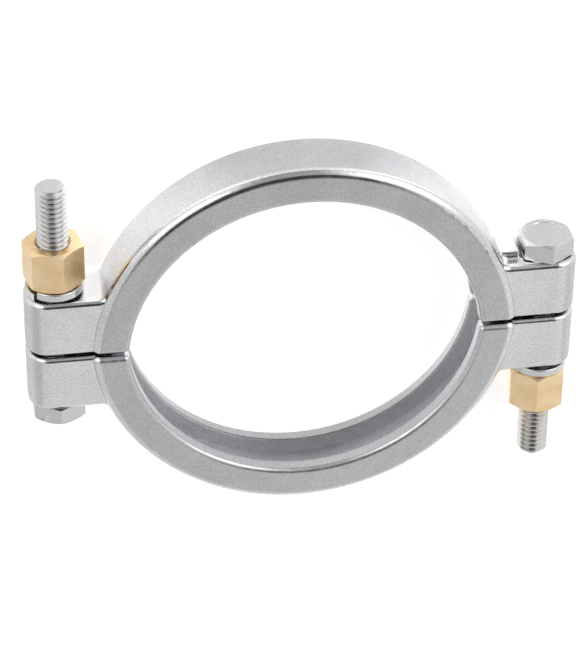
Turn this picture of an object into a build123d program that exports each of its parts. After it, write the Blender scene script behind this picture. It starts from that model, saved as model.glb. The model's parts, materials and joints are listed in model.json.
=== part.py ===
from build123d import *
import os
from math import cos, radians, sqrt, tan

# Two-bolt clamp for a sanitary ferrule joint. Two identical cast half rings, each with two ears,
# are drawn together by two M10 bolts that point opposite ways. A V-groove inside the halves wedges
# the two ferrules together.
#
# Frame: millimetres. Z is the axis of the ring, with the origin at its centre. X runs across the
# ears, from the left bolt (-X) to the right bolt (+X). Y runs along the bolts. The rear half is on
# the +Y side and the front half is the rear half turned 180 degrees about Z.

# Ring, as a section turned about the axis of its own arc
groove_floor_r = 60.5  # floor of the V-groove
groove_depth = 4.5  # from the bore of the lips to the floor
ring_wall = 7.2  # from the floor to the outer wall
ring_width = 21.0  # face to face along Z
groove_mouth = 12.2  # width between the lips at the bore
flank_deg = 20.0  # slope of each groove flank from the plane of the ring
outer_edge_r = 2.8  # rolled outer edges of the two faces

# Split between the halves. With no ferrules inside, the halves close up past the true circle.
arc_offset = 5.0  # from the split plane to the centre of each half's arc
split_gap = 1.4  # between the ears as shown
ring_split_edge_r = 1.6  # rounding round the ring's split faces, carried on along its lips
ear_split_edge_r = 1.2  # rounding round the ears' split faces
lip_end_r = 1.5  # ends of the lips, seen along Z

# Ears
bolt_from_ring = 9.9  # from the ring's outer wall to each bolt's axis, along X
ear_top = 20.0  # from the split plane to the seat of a head or washer
ear_width = 17.6  # along Z
ear_reach = 9.6  # from the bolt's axis to the outer end of the ear
ear_corner_r = 7.0  # outer corners, seen along the bolt
ear_edge_r = 1.5  # edges of the seat
ear_root_r = 3.0  # fillet between the seat and the ring's outer wall
ear_overlap = 3.0  # how far the ear's root reaches into the ring's wall
ear_hole_d = 11.0  # clearance hole for the bolt

# Shoulder that keeps a bolt head from turning while its nut is tightened
shoulder_h = 2.4  # above the seat
shoulder_front = 3.4  # its front end, along Z
shoulder_edge_r = 0.7
shoulder_foot_r = 1.0  # cove between the shoulder and the seat
shoulder_inset = 0.5  # from the cove behind the shoulder to the rounded edge of the seat
head_to_shoulder = 0.5  # gap to the corner of the turned head

# Bolts
bolt_d = 10.0
bolt_length = 78.0  # under the head
bolt_end_chamfer = 0.9
head_af = 16.0  # across flats
head_h = 6.4  # with the washer face
head_face_h = 0.4  # washer face under the hexagon
left_head_turn = 0.0  # how far each head has turned against its shoulder, in degrees
right_head_turn = 4.0

# Nuts
nut_af = 17.0
nut_h = 14.0
nut_bore_gap = 0.05  # radial running clearance on the bolt
nut_countersink = 0.6  # at both mouths of the bore
left_nut_turn = 13.0  # as left by the spanner, in degrees
right_nut_turn = 10.5
hex_chamfer_deg = 30.0
hex_face_share = 0.95  # diameter of the flat end face over the width across flats
hex_corner_r = 0.35  # drawn corners of the hexagon bar

# Split lock washers, wound left-handed and standing open
washer_outer_d = 18.1
washer_bore_gap = 0.25  # radial
washer_t = 2.5
washer_rise = 1.4  # from one end of the coil to the other
washer_arc = 352.0  # degrees of coil, the rest is the split
left_split_turn = -45.0  # where the split is, about the bolt from +Z
right_split_turn = -130.0
washer_edge_r = 0.3
seat_gap = 0.02  # left under the coil and between coil and nut

# Derived
half_width = ring_width / 2
lip_r = groove_floor_r - groove_depth
ring_outer_r = groove_floor_r + ring_wall
bolt_x = ring_outer_r + bolt_from_ring
mid_wall_r = (groove_floor_r + ring_outer_r) / 2
root_r = ring_outer_r - ear_overlap
bolt_r = bolt_d / 2
ear_end = bolt_x + ear_reach
nut_seat = ear_top + seat_gap + washer_t + washer_rise + seat_gap
head_corner_r = head_af / 2 / cos(radians(30))
head_reach = head_corner_r * cos(radians(30 - right_head_turn))
shoulder_x = bolt_x - head_reach - head_to_shoulder
shoulder_back = ear_edge_r + shoulder_inset + shoulder_foot_r - ear_width / 2
beyond = 2 * ear_end  # longer than anything that a cutting block or drill has to clear
touching = 1e-4  # how close counts as lying in a plane


def ring_section():
    """Half section of the ring, in the XZ plane: two lips with a V-groove between them."""
    mouth = groove_mouth / 2
    floor = mouth - (groove_floor_r - lip_r) * tan(radians(flank_deg))
    with BuildSketch(Plane.XZ) as section:
        with BuildLine():
            Polyline(
                (lip_r, half_width),
                (ring_outer_r, half_width),
                (ring_outer_r, -half_width),
                (lip_r, -half_width),
                (lip_r, -mouth),
                (groove_floor_r, -floor),
                (groove_floor_r, floor),
                (lip_r, mouth),
                close=True,
            )
        make_face()
        corners = section.vertices()
        fillet([v for v in corners if abs(v.X - ring_outer_r) < touching], outer_edge_r)
    return section.sketch


def half_ring():
    """Grooved half ring on the +Y side, its arc centred past the split, with rounded split faces."""
    ring = Pos(0, -arc_offset, 0) * revolve(ring_section(), Axis.Z)
    arc = ring & Pos(0, (split_gap + beyond) / 2, 0) * Box(2 * beyond, beyond, beyond)

    def at_split(edge):
        return abs(edge.center().Y - split_gap / 2) < touching

    def outside_the_groove(edge):
        centre = edge.center()
        return at_split(edge) and (abs(centre.Z) > half_width - outer_edge_r or abs(centre.X) > mid_wall_r)

    lip_x = sqrt(lip_r**2 - (arc_offset + split_gap / 2) ** 2)

    def at_lip_end(edge):
        return at_split(edge) and abs(abs(edge.center().X) - lip_x) < touching

    arc = fillet(arc.edges().filter_by(Axis.Z).filter_by(at_lip_end), lip_end_r)
    return fillet(arc.edges().filter_by(outside_the_groove), ring_split_edge_r)


def ear_outline():
    """The right ear seen along Z, with the fillet that carries its seat into the ring's wall."""
    seat_end = sqrt(ring_outer_r**2 - (ear_top + arc_offset) ** 2)
    arc_centre = (0, -arc_offset)
    with BuildSketch() as outline:
        with Locations(arc_centre):
            Circle(ring_outer_r)
        with Locations((0, split_gap / 2)):
            Rectangle(ear_end, ear_top - split_gap / 2, align=Align.MIN)
        fillet(outline.vertices().sort_by_distance((seat_end, ear_top, 0))[0], ear_root_r)
        with Locations(arc_centre):
            Circle(root_r, mode=Mode.SUBTRACT)
        with Locations((seat_end - 2 * ear_root_r, split_gap / 2)):
            Rectangle(beyond, ear_top + ear_root_r, align=Align.MIN, mode=Mode.INTERSECT)
    return outline.sketch


def ear():
    """The right ear: its outline along Z met by its rounded plan along Y, with softened edges."""
    block = extrude(Pos(0, 0, -ear_width / 2) * ear_outline(), ear_width)
    with BuildSketch(Plane.XZ) as plan:
        Rectangle(2 * ear_end, ear_width)
        fillet(plan.vertices(), ear_corner_r)
    block = block & extrude(plan.sketch, beyond, both=True)

    for y, edge_r in ((ear_top, ear_edge_r), (split_gap / 2, ear_split_edge_r)):
        level = [e for e in block.edges() if abs(e.center().Y - y) < touching]
        rim = [e for e in level if abs(e.center().Z) > ear_width / 2 - touching or e.center().X > bolt_x]
        block = fillet(rim, edge_r)
    return block


def shoulder():
    """Raised block between the right ear's seat and the ring, against which a bolt head locks."""
    inner_x = sqrt(root_r**2 - (ear_top + arc_offset) ** 2) + ear_edge_r
    length = shoulder_x - inner_x
    depth = shoulder_front - shoulder_back
    at = Pos(inner_x, ear_top - ear_edge_r, shoulder_back)
    block = at * Box(length, shoulder_h + ear_edge_r, depth, align=Align.MIN)
    top = block.faces().sort_by(Axis.Y)[-1]
    upright = block.edges().filter_by(Axis.Y).sort_by(Axis.X)[-2:]
    return fillet(top.edges() + upright, shoulder_edge_r)


def clamp_half():
    """The casting on the +Y side: half ring, left ear for a nut, right ear for a bolt head."""
    right = ear()
    casting = half_ring() + [right, mirror(right, Plane.YZ), shoulder()]

    def at_shoulder_foot(edge):
        centre = edge.center()
        on_seat = abs(centre.Y - ear_top) < touching and centre.Z < shoulder_front + touching
        along_front = abs(centre.Z - shoulder_front) < shoulder_edge_r
        return on_seat and (along_front or abs(centre.X - shoulder_x) < shoulder_edge_r)

    casting = fillet(casting.edges().filter_by(at_shoulder_foot), shoulder_foot_r)
    drill = Rot(90, 0, 0) * Cylinder(ear_hole_d / 2, beyond)
    return casting - Pos(bolt_x, 0, 0) * drill - Pos(-bolt_x, 0, 0) * drill


def hexagon(across_flats, height):
    """Hexagonal prism on +Z with a corner on +X, and the corners of its high end chamfered."""
    corner_r = across_flats / 2 / cos(radians(30))
    face_r = across_flats / 2 * hex_face_share
    slope = tan(radians(hex_chamfer_deg))
    with BuildSketch() as outline:
        RegularPolygon(corner_r, 6)
        fillet(outline.vertices(), hex_corner_r)
    cone = Cone(face_r + height / slope, face_r, height, align=(Align.CENTER, Align.CENTER, Align.MIN))
    return extrude(outline.sketch, height) & cone


def bolt(turn):
    """Hex bolt with its shank on +Z and the underside of its head at z = 0."""
    below = (Align.CENTER, Align.CENTER, Align.MAX)
    above = (Align.CENTER, Align.CENTER, Align.MIN)
    washer_face = Cylinder(head_af / 2 * hex_face_share, head_face_h, align=below)
    hexagon_head = Rot(180, 0, turn) * hexagon(head_af, head_h - head_face_h)
    shank = Cylinder(bolt_r, bolt_length, align=above)
    end = shank.edges().sort_by(Axis.Z)[-1]
    return Pos(0, 0, -head_face_h) * hexagon_head + washer_face + chamfer(end, bolt_end_chamfer)


def nut(turn):
    """Tall hex nut on +Z, with a plain running bore, countersunk at both mouths."""
    bore_r = bolt_r + nut_bore_gap
    upper = Pos(0, 0, nut_h / 2) * hexagon(nut_af, nut_h / 2)
    blank = upper + mirror(upper, Plane.XY.offset(nut_h / 2))
    drilled = Rot(0, 0, turn) * blank - Pos(0, 0, nut_h / 2) * Cylinder(bore_r, nut_h)
    mouths = [e for e in drilled.edges().filter_by(GeomType.CIRCLE) if abs(e.radius - bore_r) < touching]
    return chamfer(mouths, nut_countersink)


def lock_washer(turn):
    """Split washer on +Z: one left-handed turn of square-edged wire, high just past the split."""
    inner_r = bolt_r + washer_bore_gap
    wire_w = washer_outer_d / 2 - inner_r
    path = Helix(washer_rise * 360 / washer_arc, washer_rise, inner_r + wire_w / 2, lefthand=True)
    with BuildSketch(Plane(origin=path @ 0, x_dir=(1, 0, 0), z_dir=path % 0)) as wire:
        Rectangle(wire_w, washer_t)
        fillet(wire.vertices(), washer_edge_r)
    coil = sweep(wire.sketch, path=path, is_frenet=True)
    return Pos(0, 0, washer_t / 2) * Rot(0, 0, turn - (360 - washer_arc) / 2) * coil


def on_left(y):
    """Place along the left bolt, pointing to +Y, with X of the piece on +Z."""
    return Plane(origin=(-bolt_x, y, 0), x_dir=(0, 0, 1), z_dir=(0, 1, 0)).location


def on_right(y):
    """Place along the right bolt, pointing to -Y: the left bolt's turned half a turn about Z."""
    return Plane(origin=(bolt_x, -y, 0), x_dir=(0, 0, 1), z_dir=(0, -1, 0)).location


def main():
    os.makedirs("parts", exist_ok=True)
    rear_half = clamp_half()
    pieces = {
        "rear_half": rear_half,
        "front_half": Rot(0, 0, 180) * rear_half,
        "left_bolt": on_left(-ear_top) * bolt(left_head_turn),
        "right_bolt": on_right(-ear_top) * bolt(right_head_turn),
        "left_lock_washer": on_left(ear_top + seat_gap) * lock_washer(left_split_turn),
        "right_lock_washer": on_right(ear_top + seat_gap) * lock_washer(right_split_turn),
        "left_nut": on_left(nut_seat) * nut(left_nut_turn),
        "right_nut": on_right(nut_seat) * nut(right_nut_turn),
    }
    for name, shape in pieces.items():
        export_step(shape, f"parts/{name}.step")


main()
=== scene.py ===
"""Finish, threads, light and camera for a bolted sanitary clamp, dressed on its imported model.

The clamp lies on its back face: two cast half rings, two hex bolts that point opposite ways, two
split washers and two tall brass nuts. The bolts are rebuilt here with their rolled threads.
"""

import json
import logging
import math
from dataclasses import dataclass
from enum import Enum
from typing import Any, Mapping, Sequence, Union

import bmesh
import bpy
from mathutils import Matrix, Vector


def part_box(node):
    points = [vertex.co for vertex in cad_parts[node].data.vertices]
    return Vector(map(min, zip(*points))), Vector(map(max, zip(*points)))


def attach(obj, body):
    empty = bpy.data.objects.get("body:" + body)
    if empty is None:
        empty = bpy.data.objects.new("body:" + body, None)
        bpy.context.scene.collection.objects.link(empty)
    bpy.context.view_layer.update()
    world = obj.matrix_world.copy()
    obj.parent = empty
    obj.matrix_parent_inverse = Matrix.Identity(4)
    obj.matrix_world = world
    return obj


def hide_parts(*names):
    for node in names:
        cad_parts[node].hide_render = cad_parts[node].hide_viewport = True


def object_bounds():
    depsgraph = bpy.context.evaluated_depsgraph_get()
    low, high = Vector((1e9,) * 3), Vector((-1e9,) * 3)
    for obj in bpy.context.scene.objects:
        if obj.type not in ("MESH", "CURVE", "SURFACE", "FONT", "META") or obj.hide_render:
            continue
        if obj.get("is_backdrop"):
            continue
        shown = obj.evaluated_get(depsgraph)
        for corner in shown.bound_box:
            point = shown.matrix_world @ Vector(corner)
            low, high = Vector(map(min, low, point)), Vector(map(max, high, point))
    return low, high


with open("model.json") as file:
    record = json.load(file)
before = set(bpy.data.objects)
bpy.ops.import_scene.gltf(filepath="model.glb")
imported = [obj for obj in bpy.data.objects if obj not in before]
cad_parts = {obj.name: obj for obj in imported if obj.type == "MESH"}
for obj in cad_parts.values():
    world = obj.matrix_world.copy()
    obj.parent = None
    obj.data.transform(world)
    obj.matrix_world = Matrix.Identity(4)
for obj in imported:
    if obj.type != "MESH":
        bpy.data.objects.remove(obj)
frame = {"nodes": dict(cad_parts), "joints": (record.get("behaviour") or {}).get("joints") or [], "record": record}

MM = 0.001
NOISE_RANGE = (0.3, 0.7)
WELD = 0.002 * MM  # points closer than this are one
# One turn of the thread: place along the pitch, share of the depth
THREAD_PROFILE = ((0.0, 0.0), (0.14, 0.0), (0.45, 1.0), (0.69, 1.0), (1.0, 0.0))
Colour = tuple[float, float, float]
Value = Union["Signal", float, Sequence[float]]

log = logging.getLogger("clamp")


class Side(Enum):
    """The two bolts of the clamp, by the end of the X axis they stand at."""

    LEFT = "left"
    RIGHT = "right"

    @property
    def along(self) -> float:
        """+1 where the bolt's free end points to +Y, -1 where it points to -Y."""
        return 1.0 if self is Side.LEFT else -1.0

    @property
    def axis_x(self) -> float:
        """X of the bolt's axis, from the place of its nut's joint."""
        return next(j["pos_m"][0] for j in frame["joints"] if j["name"] == f"{self.value}_nut_turn")

    @property
    def head_half(self) -> str:
        """Body that the head is locked to."""
        return "front" if self is Side.LEFT else "rear"


class Signal:
    """One output of a shader graph, which Python's operators work on."""

    def __init__(self, graph: "Graph", socket: bpy.types.NodeSocket) -> None:
        """Wraps a socket.

        Args:
            graph: The graph the socket belongs to.
            socket: The output socket.
        """
        self.graph = graph
        self.socket = socket

    def _math(self, operation: str, *values: Value) -> "Signal":
        """Adds a Math node of that operation on these values."""
        return self.graph.node("ShaderNodeMath", {"operation": operation}, dict(enumerate(values)))

    def __add__(self, other: Value) -> "Signal":
        """Sum."""
        return self._math("ADD", self, other)

    def __sub__(self, other: Value) -> "Signal":
        """Difference."""
        return self._math("SUBTRACT", self, other)

    def __rsub__(self, other: Value) -> "Signal":
        """Difference from a number."""
        return self._math("SUBTRACT", other, self)

    def __mul__(self, other: Value) -> "Signal":
        """Product."""
        return self._math("MULTIPLY", self, other)

    def __abs__(self) -> "Signal":
        """Size without sign."""
        return self._math("ABSOLUTE", self)

    __radd__ = __add__
    __rmul__ = __mul__

    def spread(self, low: float, high: float) -> "Signal":
        """Noise spread from low to high, over the part of its range that it mostly keeps to.

        Args:
            low: Value in its valleys.
            high: Value on its peaks.

        Returns:
            The spread noise.
        """
        return self.rise(*NOISE_RANGE, low, high)

    def lower(self, other: Value) -> "Signal":
        """The smaller of the two."""
        return self._math("MINIMUM", self, other)

    def higher(self, other: Value) -> "Signal":
        """The larger of the two."""
        return self._math("MAXIMUM", self, other)

    def length_with(self, other: "Signal") -> "Signal":
        """Length of the arrow that has these two as its legs.

        Args:
            other: The second leg.

        Returns:
            The length.
        """
        return self._math("SQRT", self * self + other * other)

    def angle_from(self, other: "Signal") -> "Signal":
        """Angle of the arrow with this as its rise.

        Args:
            other: Its run.

        Returns:
            The angle in radians.
        """
        return self._math("ARCTAN2", self, other)

    def rise(self, start: float, end: float, low: float = 0.0, high: float = 1.0) -> "Signal":
        """Smooth change from low to high as this goes from start to end.

        Args:
            start: Where the change begins.
            end: Where the change is complete.
            low: Value before start.
            high: Value past end.

        Returns:
            The changed signal.
        """
        ends = {"From Min": start, "From Max": end, "To Min": low, "To Max": high}
        settings = {"interpolation_type": "SMOOTHSTEP"}
        return self.graph.node("ShaderNodeMapRange", settings, {"Value": self, **ends})


class Graph:
    """Node graph of one material or world, with pattern coordinates in millimetres."""

    def __init__(self, owner: bpy.types.Material | bpy.types.World) -> None:
        """Clears the owner's nodes.

        Args:
            owner: The material or world.
        """
        owner.use_nodes = True
        kind = "World" if isinstance(owner, bpy.types.World) else "Material"
        self.owner = owner
        self.nodes = owner.node_tree.nodes
        self.links = owner.node_tree.links
        self.nodes.clear()
        self.output = self.nodes.new(f"ShaderNodeOutput{kind}")

    @classmethod
    def material(cls, name: str) -> "Graph":
        """Starts a new material.

        Args:
            name: Name of the material.

        Returns:
            Its empty graph.
        """
        return cls(bpy.data.materials.new(name))

    def node(
        self,
        kind: str,
        settings: Mapping[str, Any] | None = None,
        inputs: Mapping[str | int, Value] | None = None,
        output: str | int = 0,
    ) -> Signal:
        """Adds one node.

        Args:
            kind: Type of the node.
            settings: Its properties, set before its sockets.
            inputs: Values or signals for its sockets, by name or number.
            output: Which of its outputs is wanted.

        Returns:
            That output.
        """
        made = self.nodes.new(kind)
        for name, value in (settings or {}).items():
            setattr(made, name, value)
        for name, value in (inputs or {}).items():
            if isinstance(value, Signal):
                self.links.new(value.socket, made.inputs[name])
            else:
                made.inputs[name].default_value = value
        return Signal(self, made.outputs[output])

    def place(self) -> Signal:
        """Place on the piece, in millimetres of the shared frame."""
        return self.scale(self.node("ShaderNodeTexCoord", output="Object"), 1 / MM)

    def scale(self, vector: Signal, by: Value) -> Signal:
        """Longer or shorter vector, or lighter or darker colour.

        Args:
            vector: The vector or colour.
            by: What it is multiplied by.

        Returns:
            The scaled one.
        """
        return self.node("ShaderNodeVectorMath", {"operation": "SCALE"}, {0: vector, "Scale": by})

    def split(self, vector: Signal) -> tuple[Signal, Signal, Signal]:
        """The three parts of a vector."""
        parts = self.node("ShaderNodeSeparateXYZ", inputs={0: vector}).socket.node.outputs
        return Signal(self, parts[0]), Signal(self, parts[1]), Signal(self, parts[2])

    def vector(self, x: Value, y: Value, z: Value) -> Signal:
        """Vector made of three parts."""
        return self.node("ShaderNodeCombineXYZ", inputs={0: x, 1: y, 2: z})

    def noise(self, at: Signal, per_mm: float, detail: float = 2.0, harsh: float = 0.5) -> Signal:
        """Cloudy noise from 0 to 1.

        Args:
            at: Pattern coordinates in millimetres.
            per_mm: Spots in a millimetre.
            detail: Number of finer layers.
            harsh: Strength of the finer layers.

        Returns:
            The noise.
        """
        inputs = {"Vector": at, "Scale": per_mm, "Detail": detail, "Roughness": harsh}
        return self.node("ShaderNodeTexNoise", inputs=inputs)

    def mix(self, share: Value, first: Value, second: Value) -> Signal:
        """Mix of two colours.

        Args:
            share: How much of the second.
            first: Colour at 0.
            second: Colour at 1.

        Returns:
            The mixed colour.
        """
        rgba = [c if isinstance(c, Signal) else (*c, 1.0) for c in (first, second)]
        settings = {"data_type": "RGBA", "clamp_factor": True}
        return self.node("ShaderNodeMix", settings, {0: share, 6: rgba[0], 7: rgba[1]}, output=2)

    def bump(self, height_mm: Signal) -> Signal:
        """Normal bent by a height in millimetres."""
        return self.node("ShaderNodeBump", inputs={"Height": height_mm, "Distance": MM, "Strength": 1.0})

    def metal(self, colour: Value, roughness: Value, relief_mm: Signal) -> bpy.types.Material:
        """Closes the graph as bare metal.

        Args:
            colour: Colour of the metal.
            roughness: Roughness from 0, mirror, to 1, matt.
            relief_mm: Height of its surface in millimetres.

        Returns:
            The finished material.
        """
        inputs = {
            "Base Color": colour, "Roughness": roughness, "Metallic": 1.0,
            "Normal": self.bump(relief_mm),
        }
        shader = self.node("ShaderNodeBsdfPrincipled", inputs=inputs)
        self.links.new(shader.socket, self.output.inputs["Surface"])
        return self.owner


@dataclass(frozen=True)
class CastSteel:
    """Blasted and tumbled stainless casting, brighter on its edges, sandy in its groove; the edges are polished,
    and their lighter colour is a painted highlight.
    """

    arc_y: float  # centre of the half's arc, and all lengths here are in mm
    outer_r: float = 67.7
    half_width: float = 10.5
    ear_top: float = 20.0
    edge_r: float = 2.8
    ear_edge_r: float = 1.5
    lip_r: float = 56.0
    groove_r: float = 61.5
    groove_half: float = 6.2
    split_edge: float = 1.9  # painted highlight: a bright band along the split, from the split plane
    edge_fade: tuple[float, float] = (0.1, 0.8)
    groove_fade: tuple[float, float] = (0.0, 0.3)
    lip_fade: tuple[float, float] = (0.3, 0.8)
    wall_fade: tuple[float, float] = (0.1, 0.6)
    satin: Colour = (0.60, 0.605, 0.62)
    # lighter colour of the polished edges and of the split band, a painted highlight
    burnished_highlight: Colour = (0.74, 0.745, 0.76)
    sand: Colour = (0.50, 0.505, 0.52)
    grain_shade: tuple[float, float] = (0.84, 1.08)
    cloud_shade: tuple[float, float] = (0.95, 1.03)
    roughness: tuple[float, float] = (0.30, 0.38)
    edge_polish: float = 0.18  # taken from the roughness
    groove_matt: float = 0.14  # added to it
    grain_depth: float = 0.022
    wave_depth: float = 0.05
    brush_depth: float = 0.010
    sand_depth: float = 0.10

    def material(self, name: str) -> bpy.types.Material:
        """The finish of one half.

        Args:
            name: Name of the material.

        Returns:
            The material.
        """
        graph = Graph.material(name)
        place = graph.place()
        x, y, z = graph.split(place)
        radius = x.length_with(y - self.arc_y)
        height = abs(z)
        seat = abs(y)

        ring_edge = (radius - (self.outer_r - self.edge_r)).lower(height - (self.half_width - self.edge_r))
        ear_edge = (seat - (self.ear_top - self.ear_edge_r)).lower(radius - self.outer_r)
        edge = ring_edge.higher(ear_edge).higher(self.split_edge - seat).rise(*self.edge_fade)
        groove = (self.groove_r - radius).lower(self.groove_half - height).rise(*self.groove_fade)
        groove = groove * (radius - self.lip_r).rise(*self.lip_fade)
        wall = (self.outer_r - radius).rise(*self.wall_fade, 1.0, 0.0)

        cloud = graph.noise(place, 0.05, 3.0)
        grain = graph.noise(place, 1.6, 3.0, 0.6)
        # Painted highlight: the edges and the split band get the lighter colour, while their lower roughness is
        # real polish
        metal = graph.mix(edge, self.satin, self.burnished_highlight)
        metal = graph.mix(groove, metal, self.sand)
        tinted = graph.scale(metal, grain.spread(*self.grain_shade) * cloud.spread(*self.cloud_shade))

        rough = graph.noise(place, 0.3, 3.0).spread(*self.roughness)
        rough = rough - edge * self.edge_polish + groove * self.groove_matt

        along = graph.vector((y - self.arc_y).angle_from(x) * 9.0, z * 3.0, radius * 3.0)
        relief = grain * self.grain_depth * (1.0 - edge * 0.8)
        relief = relief + graph.noise(place, 0.22, 2.0) * self.wave_depth
        relief = relief + graph.noise(along, 1.0, 4.0, 0.6) * wall * self.brush_depth
        relief = relief + graph.noise(place, 0.9, 3.0, 0.7) * groove * self.sand_depth
        return graph.metal(tinted, rough, relief)


@dataclass(frozen=True)
class RolledSteel:
    """Bright machined steel of the bolts."""

    colour: Colour = (0.64, 0.635, 0.63)
    grain_shade: tuple[float, float] = (0.92, 1.05)
    roughness: tuple[float, float] = (0.20, 0.28)
    grain_depth: float = 0.003  # mm
    drawn_depth: float = 0.004  # of the lines along the head's flats
    head_start: tuple[float, float] = (5.2, 6.0)  # from the axis

    def material(self, name: str, axis_x: float) -> bpy.types.Material:
        """The finish of one bolt.

        Args:
            name: Name of the material.
            axis_x: X of the bolt's axis, mm.

        Returns:
            The material.
        """
        graph = Graph.material(name)
        place = graph.place()
        x, y, z = graph.split(place)
        radius = (x - axis_x).length_with(z)
        grain = graph.noise(place, 1.5, 3.0, 0.6)
        drawn = graph.noise(graph.vector(x * 4.0, y * 0.25, z * 4.0), 1.0, 3.0)
        tinted = graph.scale(graph.vector(*self.colour), grain.spread(*self.grain_shade))
        relief = grain * self.grain_depth + drawn * self.drawn_depth * radius.rise(*self.head_start)
        return graph.metal(tinted, grain.spread(*self.roughness), relief)


@dataclass(frozen=True)
class WireSteel:
    """Bright coiled wire of the split washers."""

    colour: Colour = (0.70, 0.70, 0.70)
    dull: Colour = (0.644, 0.644, 0.644)
    roughness: tuple[float, float] = (0.18, 0.30)
    grain_depth: float = 0.006  # mm

    def material(self, name: str) -> bpy.types.Material:
        """The finish of the washers.

        Args:
            name: Name of the material.

        Returns:
            The material.
        """
        graph = Graph.material(name)
        place = graph.place()
        grain = graph.noise(place, 1.2, 3.0, 0.6)
        tinted = graph.mix(grain, self.dull, self.colour)
        return graph.metal(tinted, grain.spread(*self.roughness), grain * self.grain_depth)


@dataclass(frozen=True)
class TurnedBrass:
    """Pale brass, milled on the flats and turned on the ends of the nuts."""

    colour: Colour = (0.92, 0.71, 0.44)
    deep: Colour = (0.86, 0.62, 0.35)
    deep_from: tuple[float, float] = (0.35, 0.7)  # where the cloud turns the colour deep
    roughness: tuple[float, float] = (0.26, 0.36)
    ring_depth: float = 0.010  # mm
    drawn_depth: float = 0.006
    grain_depth: float = 0.002

    def material(self, name: str, axis_x: float) -> bpy.types.Material:
        """The finish of one nut.

        Args:
            name: Name of the material.
            axis_x: X of the nut's axis, mm.

        Returns:
            The material.
        """
        graph = Graph.material(name)
        place = graph.place()
        x, y, z = graph.split(place)
        radius = (x - axis_x).length_with(z)
        rings = graph.noise(graph.vector(radius * 2.5, 0.0, 0.0), 1.0, 3.0, 0.7)
        drawn = graph.noise(graph.vector(x * 2.5, y * 0.18, z * 2.5), 1.0, 3.0, 0.6)
        cloud = graph.noise(place, 0.16, 3.0)
        grain = graph.noise(place, 1.8, 2.0)
        colour = graph.mix(cloud.rise(*self.deep_from), self.colour, self.deep)
        relief = rings * self.ring_depth + drawn * self.drawn_depth + grain * self.grain_depth
        return graph.metal(colour, grain.spread(*self.roughness), relief)


@dataclass
class Casting:
    """One half ring of the clamp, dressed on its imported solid."""

    body: str
    arc_y: float

    def dress(self) -> None:
        """Gives the half its cast finish."""
        node = frame["nodes"][f"{self.body}_half"]
        node.material_slots[0].material = CastSteel(self.arc_y).material(f"cast_steel_{self.body}")
        log.info("%s half dressed, %d faces", self.body, len(node.data.polygons))


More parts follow.
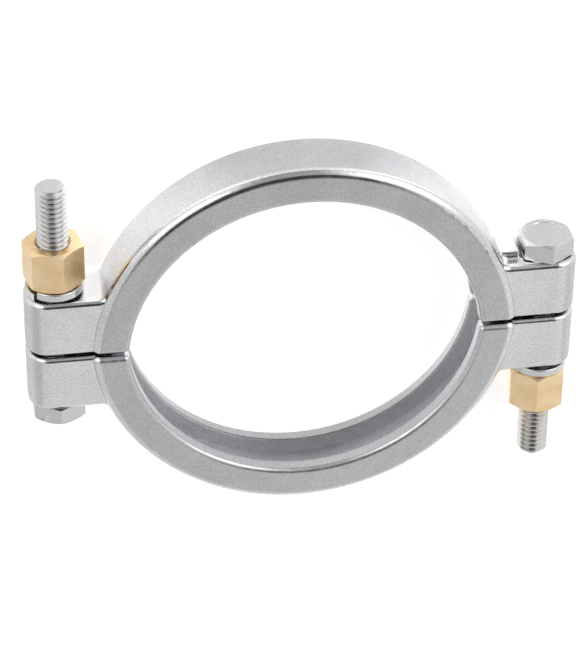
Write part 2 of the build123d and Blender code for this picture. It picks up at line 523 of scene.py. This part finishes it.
@dataclass
class Bolt:
    """Hex bolt with a rolled thread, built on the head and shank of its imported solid."""

    side: Side
    shank_r: float = 5.0 * MM
    thread_length: float = 45.0 * MM
    end_chamfer: float = 0.95 * MM
    chamfer_slope: float = 1.2  # across for one along
    crest_gap: float = 0.03 * MM
    crest_round: float = 0.10 * MM
    thread_depth: float = 0.58  # of the pitch
    fade_turns: float = 1.5  # in which the thread runs out towards the head
    rim: float = 1.5 * MM  # raised rim of the head's top
    rim_step: float = 0.15 * MM
    steps: int = 40  # in a turn
    sharp_deg: float = 18.0
    flat_deg: float = 0.2

    @property
    def name(self) -> str:
        """Node of the bolt."""
        return f"{self.side.value}_bolt"

    @property
    def pitch(self) -> float:
        """Rise of one turn, from the coupling of the nut."""
        couplings = frame["record"]["behaviour"]["couplings"]
        ratio = next(c["ratio"] for c in couplings if c["joint"] == f"{self.side.value}_nut_turn")
        return math.tau / ratio

    @property
    def tip_y(self) -> float:
        """Y of the bolt's free end."""
        low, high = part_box(self.name)
        return high.y if self.side is Side.LEFT else low.y

    def build(self) -> bpy.types.Object:
        """Models the bolt.

        Returns:
            The bolt's object.
        """
        mesh = bmesh.new()
        self._blank(mesh)
        self._thread(mesh)
        for face in mesh.faces:
            face.smooth = True
        data = bpy.data.meshes.new(f"{self.name}_threaded")
        mesh.to_mesh(data)
        mesh.free()
        bolt = bpy.data.objects.new(data.name, data)
        bpy.context.scene.collection.objects.link(bolt)
        data.set_sharp_from_angle(angle=math.radians(self.sharp_deg))
        log.info("%s built, %d faces", self.name, len(data.polygons))
        return bolt

    def _blank(self, mesh: bmesh.types.BMesh) -> None:
        """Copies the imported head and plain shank, and sinks the head's top inside a rim."""
        mesh.from_mesh(frame["nodes"][self.name].data)
        bmesh.ops.remove_doubles(mesh, verts=mesh.verts, dist=WELD)
        start = Vector((0, self.tip_y - self.side.along * self.thread_length, 0))
        everything = mesh.verts[:] + mesh.edges[:] + mesh.faces[:]
        across = Vector((0, self.side.along, 0))
        bmesh.ops.bisect_plane(mesh, geom=everything, plane_co=start, plane_no=across, clear_outer=True)
        bmesh.ops.holes_fill(mesh, edges=[e for e in mesh.edges if e.is_boundary])
        flat = math.radians(self.flat_deg)
        bmesh.ops.dissolve_limit(mesh, angle_limit=flat, verts=mesh.verts, edges=mesh.edges)
        top = min(mesh.faces, key=lambda face: face.calc_center_median().dot(across))
        for width, depth in ((self.rim, 0.0), (self.rim_step, -self.rim_step)):
            bmesh.ops.inset_region(mesh, faces=[top], thickness=width, depth=depth, use_even_offset=True)

    def _thread(self, mesh: bmesh.types.BMesh) -> None:
        """Winds the thread's profile along the bolt, fades it in and chamfers its end."""
        pitch, along = self.pitch, self.side.along
        crest = self.shank_r - self.crest_gap
        depth = self.thread_depth * pitch
        tip_y = self.tip_y
        start_y = tip_y - along * (self.thread_length + pitch)
        centre = Vector((self.side.axis_x, 0, 0))
        thread = bmesh.new()
        points = [
            thread.verts.new(centre + Vector((0, start_y + along * part * pitch, crest - share * depth)))
            for part, share in THREAD_PROFILE
        ]
        edges = [thread.edges.new(pair) for pair in zip(points, points[1:])]
        bmesh.ops.bevel(
            thread, geom=points[1:4], offset=self.crest_round, segments=2, profile=0.5,
            affect="VERTICES", material=-1,
        )
        # A right-hand thread turns clockwise as it leads away from the eye
        bmesh.ops.spin(
            thread, geom=thread.verts[:] + thread.edges[:], cent=centre, axis=(0, -along, 0),
            dvec=(0, along * pitch / self.steps, 0), angle=math.tau, steps=self.steps,
            use_merge=False, use_duplicate=False,
        )
        one_turn = thread.verts[:] + thread.edges[:] + thread.faces[:]
        for turn in range(1, math.ceil(self.thread_length / pitch) + 2):
            copied = bmesh.ops.duplicate(thread, geom=one_turn)["geom"]
            verts = [item for item in copied if isinstance(item, bmesh.types.BMVert)]
            bmesh.ops.translate(thread, verts=verts, vec=(0, along * pitch * turn, 0))
        bmesh.ops.remove_doubles(thread, verts=thread.verts, dist=WELD)
        for level, outward in ((self.thread_length, -along), (0.0, along)):
            cut = Vector((0, tip_y - along * level, 0))
            geom = thread.verts[:] + thread.edges[:] + thread.faces[:]
            bmesh.ops.bisect_plane(
                thread, geom=geom, plane_co=cut, plane_no=(0, outward, 0), clear_outer=True
            )
        for vert in thread.verts:
            from_tip = (tip_y - vert.co.y) * along
            from_start = self.thread_length - from_tip
            arm = Vector((vert.co.x - centre.x, 0, vert.co.z))
            fade = min(max(1 - from_start / (self.fade_turns * pitch), 0.0), 1.0)
            reach = arm.length + (crest - arm.length) * fade
            reach = min(reach, crest - self.end_chamfer + from_tip * self.chamfer_slope)
            vert.co += arm.normalized() * (reach - arm.length)
        bmesh.ops.holes_fill(thread, edges=[e for e in thread.edges if e.is_boundary])
        bmesh.ops.recalc_face_normals(thread, faces=thread.faces)
        part = bpy.data.meshes.new("thread")
        thread.to_mesh(part)
        thread.free()
        mesh.from_mesh(part)
        bpy.data.meshes.remove(part)

    def dress(self, bolt: bpy.types.Object) -> None:
        """Gives the bolt its finish and its place in the model."""
        bolt.data.materials.clear()
        bolt.data.materials.append(RolledSteel().material(f"{self.name}_steel", self.side.axis_x / MM))
        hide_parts(self.name)
        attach(bolt, self.side.head_half)


@dataclass
class Fastening:
    """Nut and split washer of one bolt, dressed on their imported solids."""

    side: Side

    def dress(self) -> None:
        """Gives the nut its brass and the washer its bright steel."""
        nut = frame["nodes"][f"{self.side.value}_nut"]
        nut.material_slots[0].material = TurnedBrass().material(f"{nut.name}_brass", self.side.axis_x / MM)
        washer = frame["nodes"][f"{self.side.value}_lock_washer"]
        washer.material_slots[0].material = WireSteel().material(f"{washer.name}_steel")
        log.info("%s fastening dressed", self.side.value)


@dataclass(frozen=True)
class SoftBox:
    """One rectangular lamp aimed at the clamp."""

    name: str
    place: tuple[float, float, float]  # metres
    width: float  # metres
    height: float
    glow: float  # how bright it looks, where 1 is white

    def hang(self) -> None:
        """Hangs the lamp."""
        light = bpy.data.lights.new(self.name, "AREA")
        light.shape = "RECTANGLE"
        light.size = self.width
        light.size_y = self.height
        light.energy = self.glow * math.pi * self.width * self.height
        lamp = bpy.data.objects.new(self.name, light)
        lamp.location = self.place
        lamp.rotation_euler = Vector(self.place).to_track_quat("Z", "Y").to_euler()
        bpy.context.scene.collection.objects.link(lamp)


@dataclass
class Studio:
    """Pale floor, bright walls round a dark ceiling, and two soft lamps."""

    floor_half: float = 3.0
    floor_gap: float = 0.02 * MM
    floor_grey: float = 0.80
    floor_glow: float = 0.60  # to the camera
    ring_span: tuple[float, float] = (20.0, 58.0)  # mm from the middle, where the mirrored glow grows: a painted reflection, brighter in the ring's outer walls at the sides
    painted_wall_reflection: tuple[float, float] = (0.6, 1.5)
    ear_span: tuple[float, float] = (68.0, 76.0)  # where it fades again, under the ears: painted shade in what the seats and the tops of the nuts and heads mirror
    painted_seat_shade: float = 0.4
    walls: float = 1.00
    ceiling: float = 0.07
    ceiling_rim: tuple[float, float] = (0.36, 0.54)  # sine of the angle from straight up
    behind_gain: float = 0.35  # of the wall behind the camera
    behind_from: tuple[float, float] = (0.0, 0.3)
    gap_depth: float = 0.62  # of the grey gap in that wall
    gap_rim: tuple[float, float] = (0.22, 0.42)
    side_span: tuple[float, float] = (-0.9, 0.9)  # from the left wall to the right
    side_glow: tuple[float, float] = (0.92, 1.12)
    lamps: tuple[SoftBox, ...] = (
        SoftBox("left_box", (-0.62, 0.52, 0.50), 0.55, 0.50, 1.6),
        SoftBox("right_box", (0.66, 0.50, 0.48), 0.60, 0.50, 1.8),
    )

    def build(self) -> None:
        """Lays the floor and hangs the lamps."""
        self._floor()
        self._sky()
        for lamp in self.lamps:
            lamp.hang()
        log.info("studio built, %d lamps", len(self.lamps))

    def _floor(self) -> None:
        """Lays the floor just under the clamp, white to the camera and glowing in what mirrors it, with a painted
        reflection: brighter beside the ring, dimmer under the ears.
        """
        mesh = bmesh.new()
        bmesh.ops.create_grid(mesh, x_segments=1, y_segments=1, size=self.floor_half)
        bmesh.ops.translate(mesh, verts=mesh.verts, vec=(0, 0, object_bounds()[0][2] - self.floor_gap))
        data = bpy.data.meshes.new("floor")
        mesh.to_mesh(data)
        mesh.free()
        floor = bpy.data.objects.new("floor", data)
        bpy.context.scene.collection.objects.link(floor)
        graph = Graph.material("pale_floor")
        paint = graph.node("ShaderNodeBsdfDiffuse", inputs={"Color": (*(self.floor_grey,) * 3, 1.0)})
        seen = graph.node("ShaderNodeLightPath", output="Is Camera Ray")
        mirrored = graph.node("ShaderNodeLightPath", output="Is Glossy Ray")
        through = graph.node("ShaderNodeLightPath", output="Is Transmission Ray")
        beside = abs(graph.split(graph.place())[0])
        # Painted reflection: the floor glow that the metal mirrors grows beside the ring's walls and fades under
        # the ears
        mirrored = mirrored * beside.rise(*self.ring_span, *self.painted_wall_reflection)
        mirrored = mirrored * beside.rise(*self.ear_span, 1.0, self.painted_seat_shade)
        shown = seen.higher(mirrored).higher(through)
        glow = graph.node("ShaderNodeEmission", inputs={"Strength": shown * self.floor_glow})
        lit = graph.node("ShaderNodeAddShader", inputs={0: paint, 1: glow})
        graph.links.new(lit.socket, graph.output.inputs["Surface"])
        data.materials.append(graph.owner)
        floor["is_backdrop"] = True

    def _sky(self) -> None:
        """Makes the world: bright walls with a grey gap behind the camera, round a dark ceiling."""
        graph = Graph(bpy.data.worlds.new("studio"))
        x, y, _ = graph.split(graph.node("ShaderNodeTexCoord", output="Generated"))
        glow = x.length_with(y).rise(*self.ceiling_rim, self.ceiling, self.walls)
        behind = y.rise(*self.behind_from)
        gap = behind * abs(x).rise(*self.gap_rim, self.gap_depth, 0.0)
        glow = glow * (1.0 + behind * self.behind_gain) * (1.0 - gap)
        glow = glow * x.rise(*self.side_span, *self.side_glow)
        sky = graph.node("ShaderNodeBackground", inputs={"Strength": glow})
        graph.links.new(sky.socket, graph.output.inputs["Surface"])
        bpy.context.scene.world = graph.owner


@dataclass
class Viewpoint:
    """Camera above the far side of the clamp, turned so that the far side is up."""

    place: Vector = Vector((-0.13910, 0.57773, 0.80322))
    right: Vector = Vector((0.98734, 0.01160, 0.15820))
    up: Vector = Vector((0.08251, 0.81419, -0.57471))
    lens: float = 172.44

    def build(self) -> None:
        """Sets the camera up as the scene's own."""
        data = bpy.data.cameras.new("camera")
        data.lens = self.lens
        data.sensor_width = 36.0
        camera = bpy.data.objects.new("camera", data)
        back = self.right.cross(self.up)
        turn = Matrix((self.right, self.up, back)).transposed().to_4x4()
        camera.matrix_world = Matrix.Translation(self.place) @ turn
        bpy.context.scene.collection.objects.link(camera)
        bpy.context.scene.camera = camera


def main() -> None:
    """Builds and dresses the clamp, its studio and its camera."""
    logging.basicConfig(level=logging.INFO, format="%(name)s: %(message)s")
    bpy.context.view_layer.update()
    bpy.context.scene.view_settings.view_transform = "Standard"
    Casting("rear", -5.0).dress()
    Casting("front", 5.0).dress()
    for side in Side:
        bolt = Bolt(side)
        bolt.dress(bolt.build())
        Fastening(side).dress()
    Studio().build()
    Viewpoint().build()


if __name__ == "__main__":
    main()
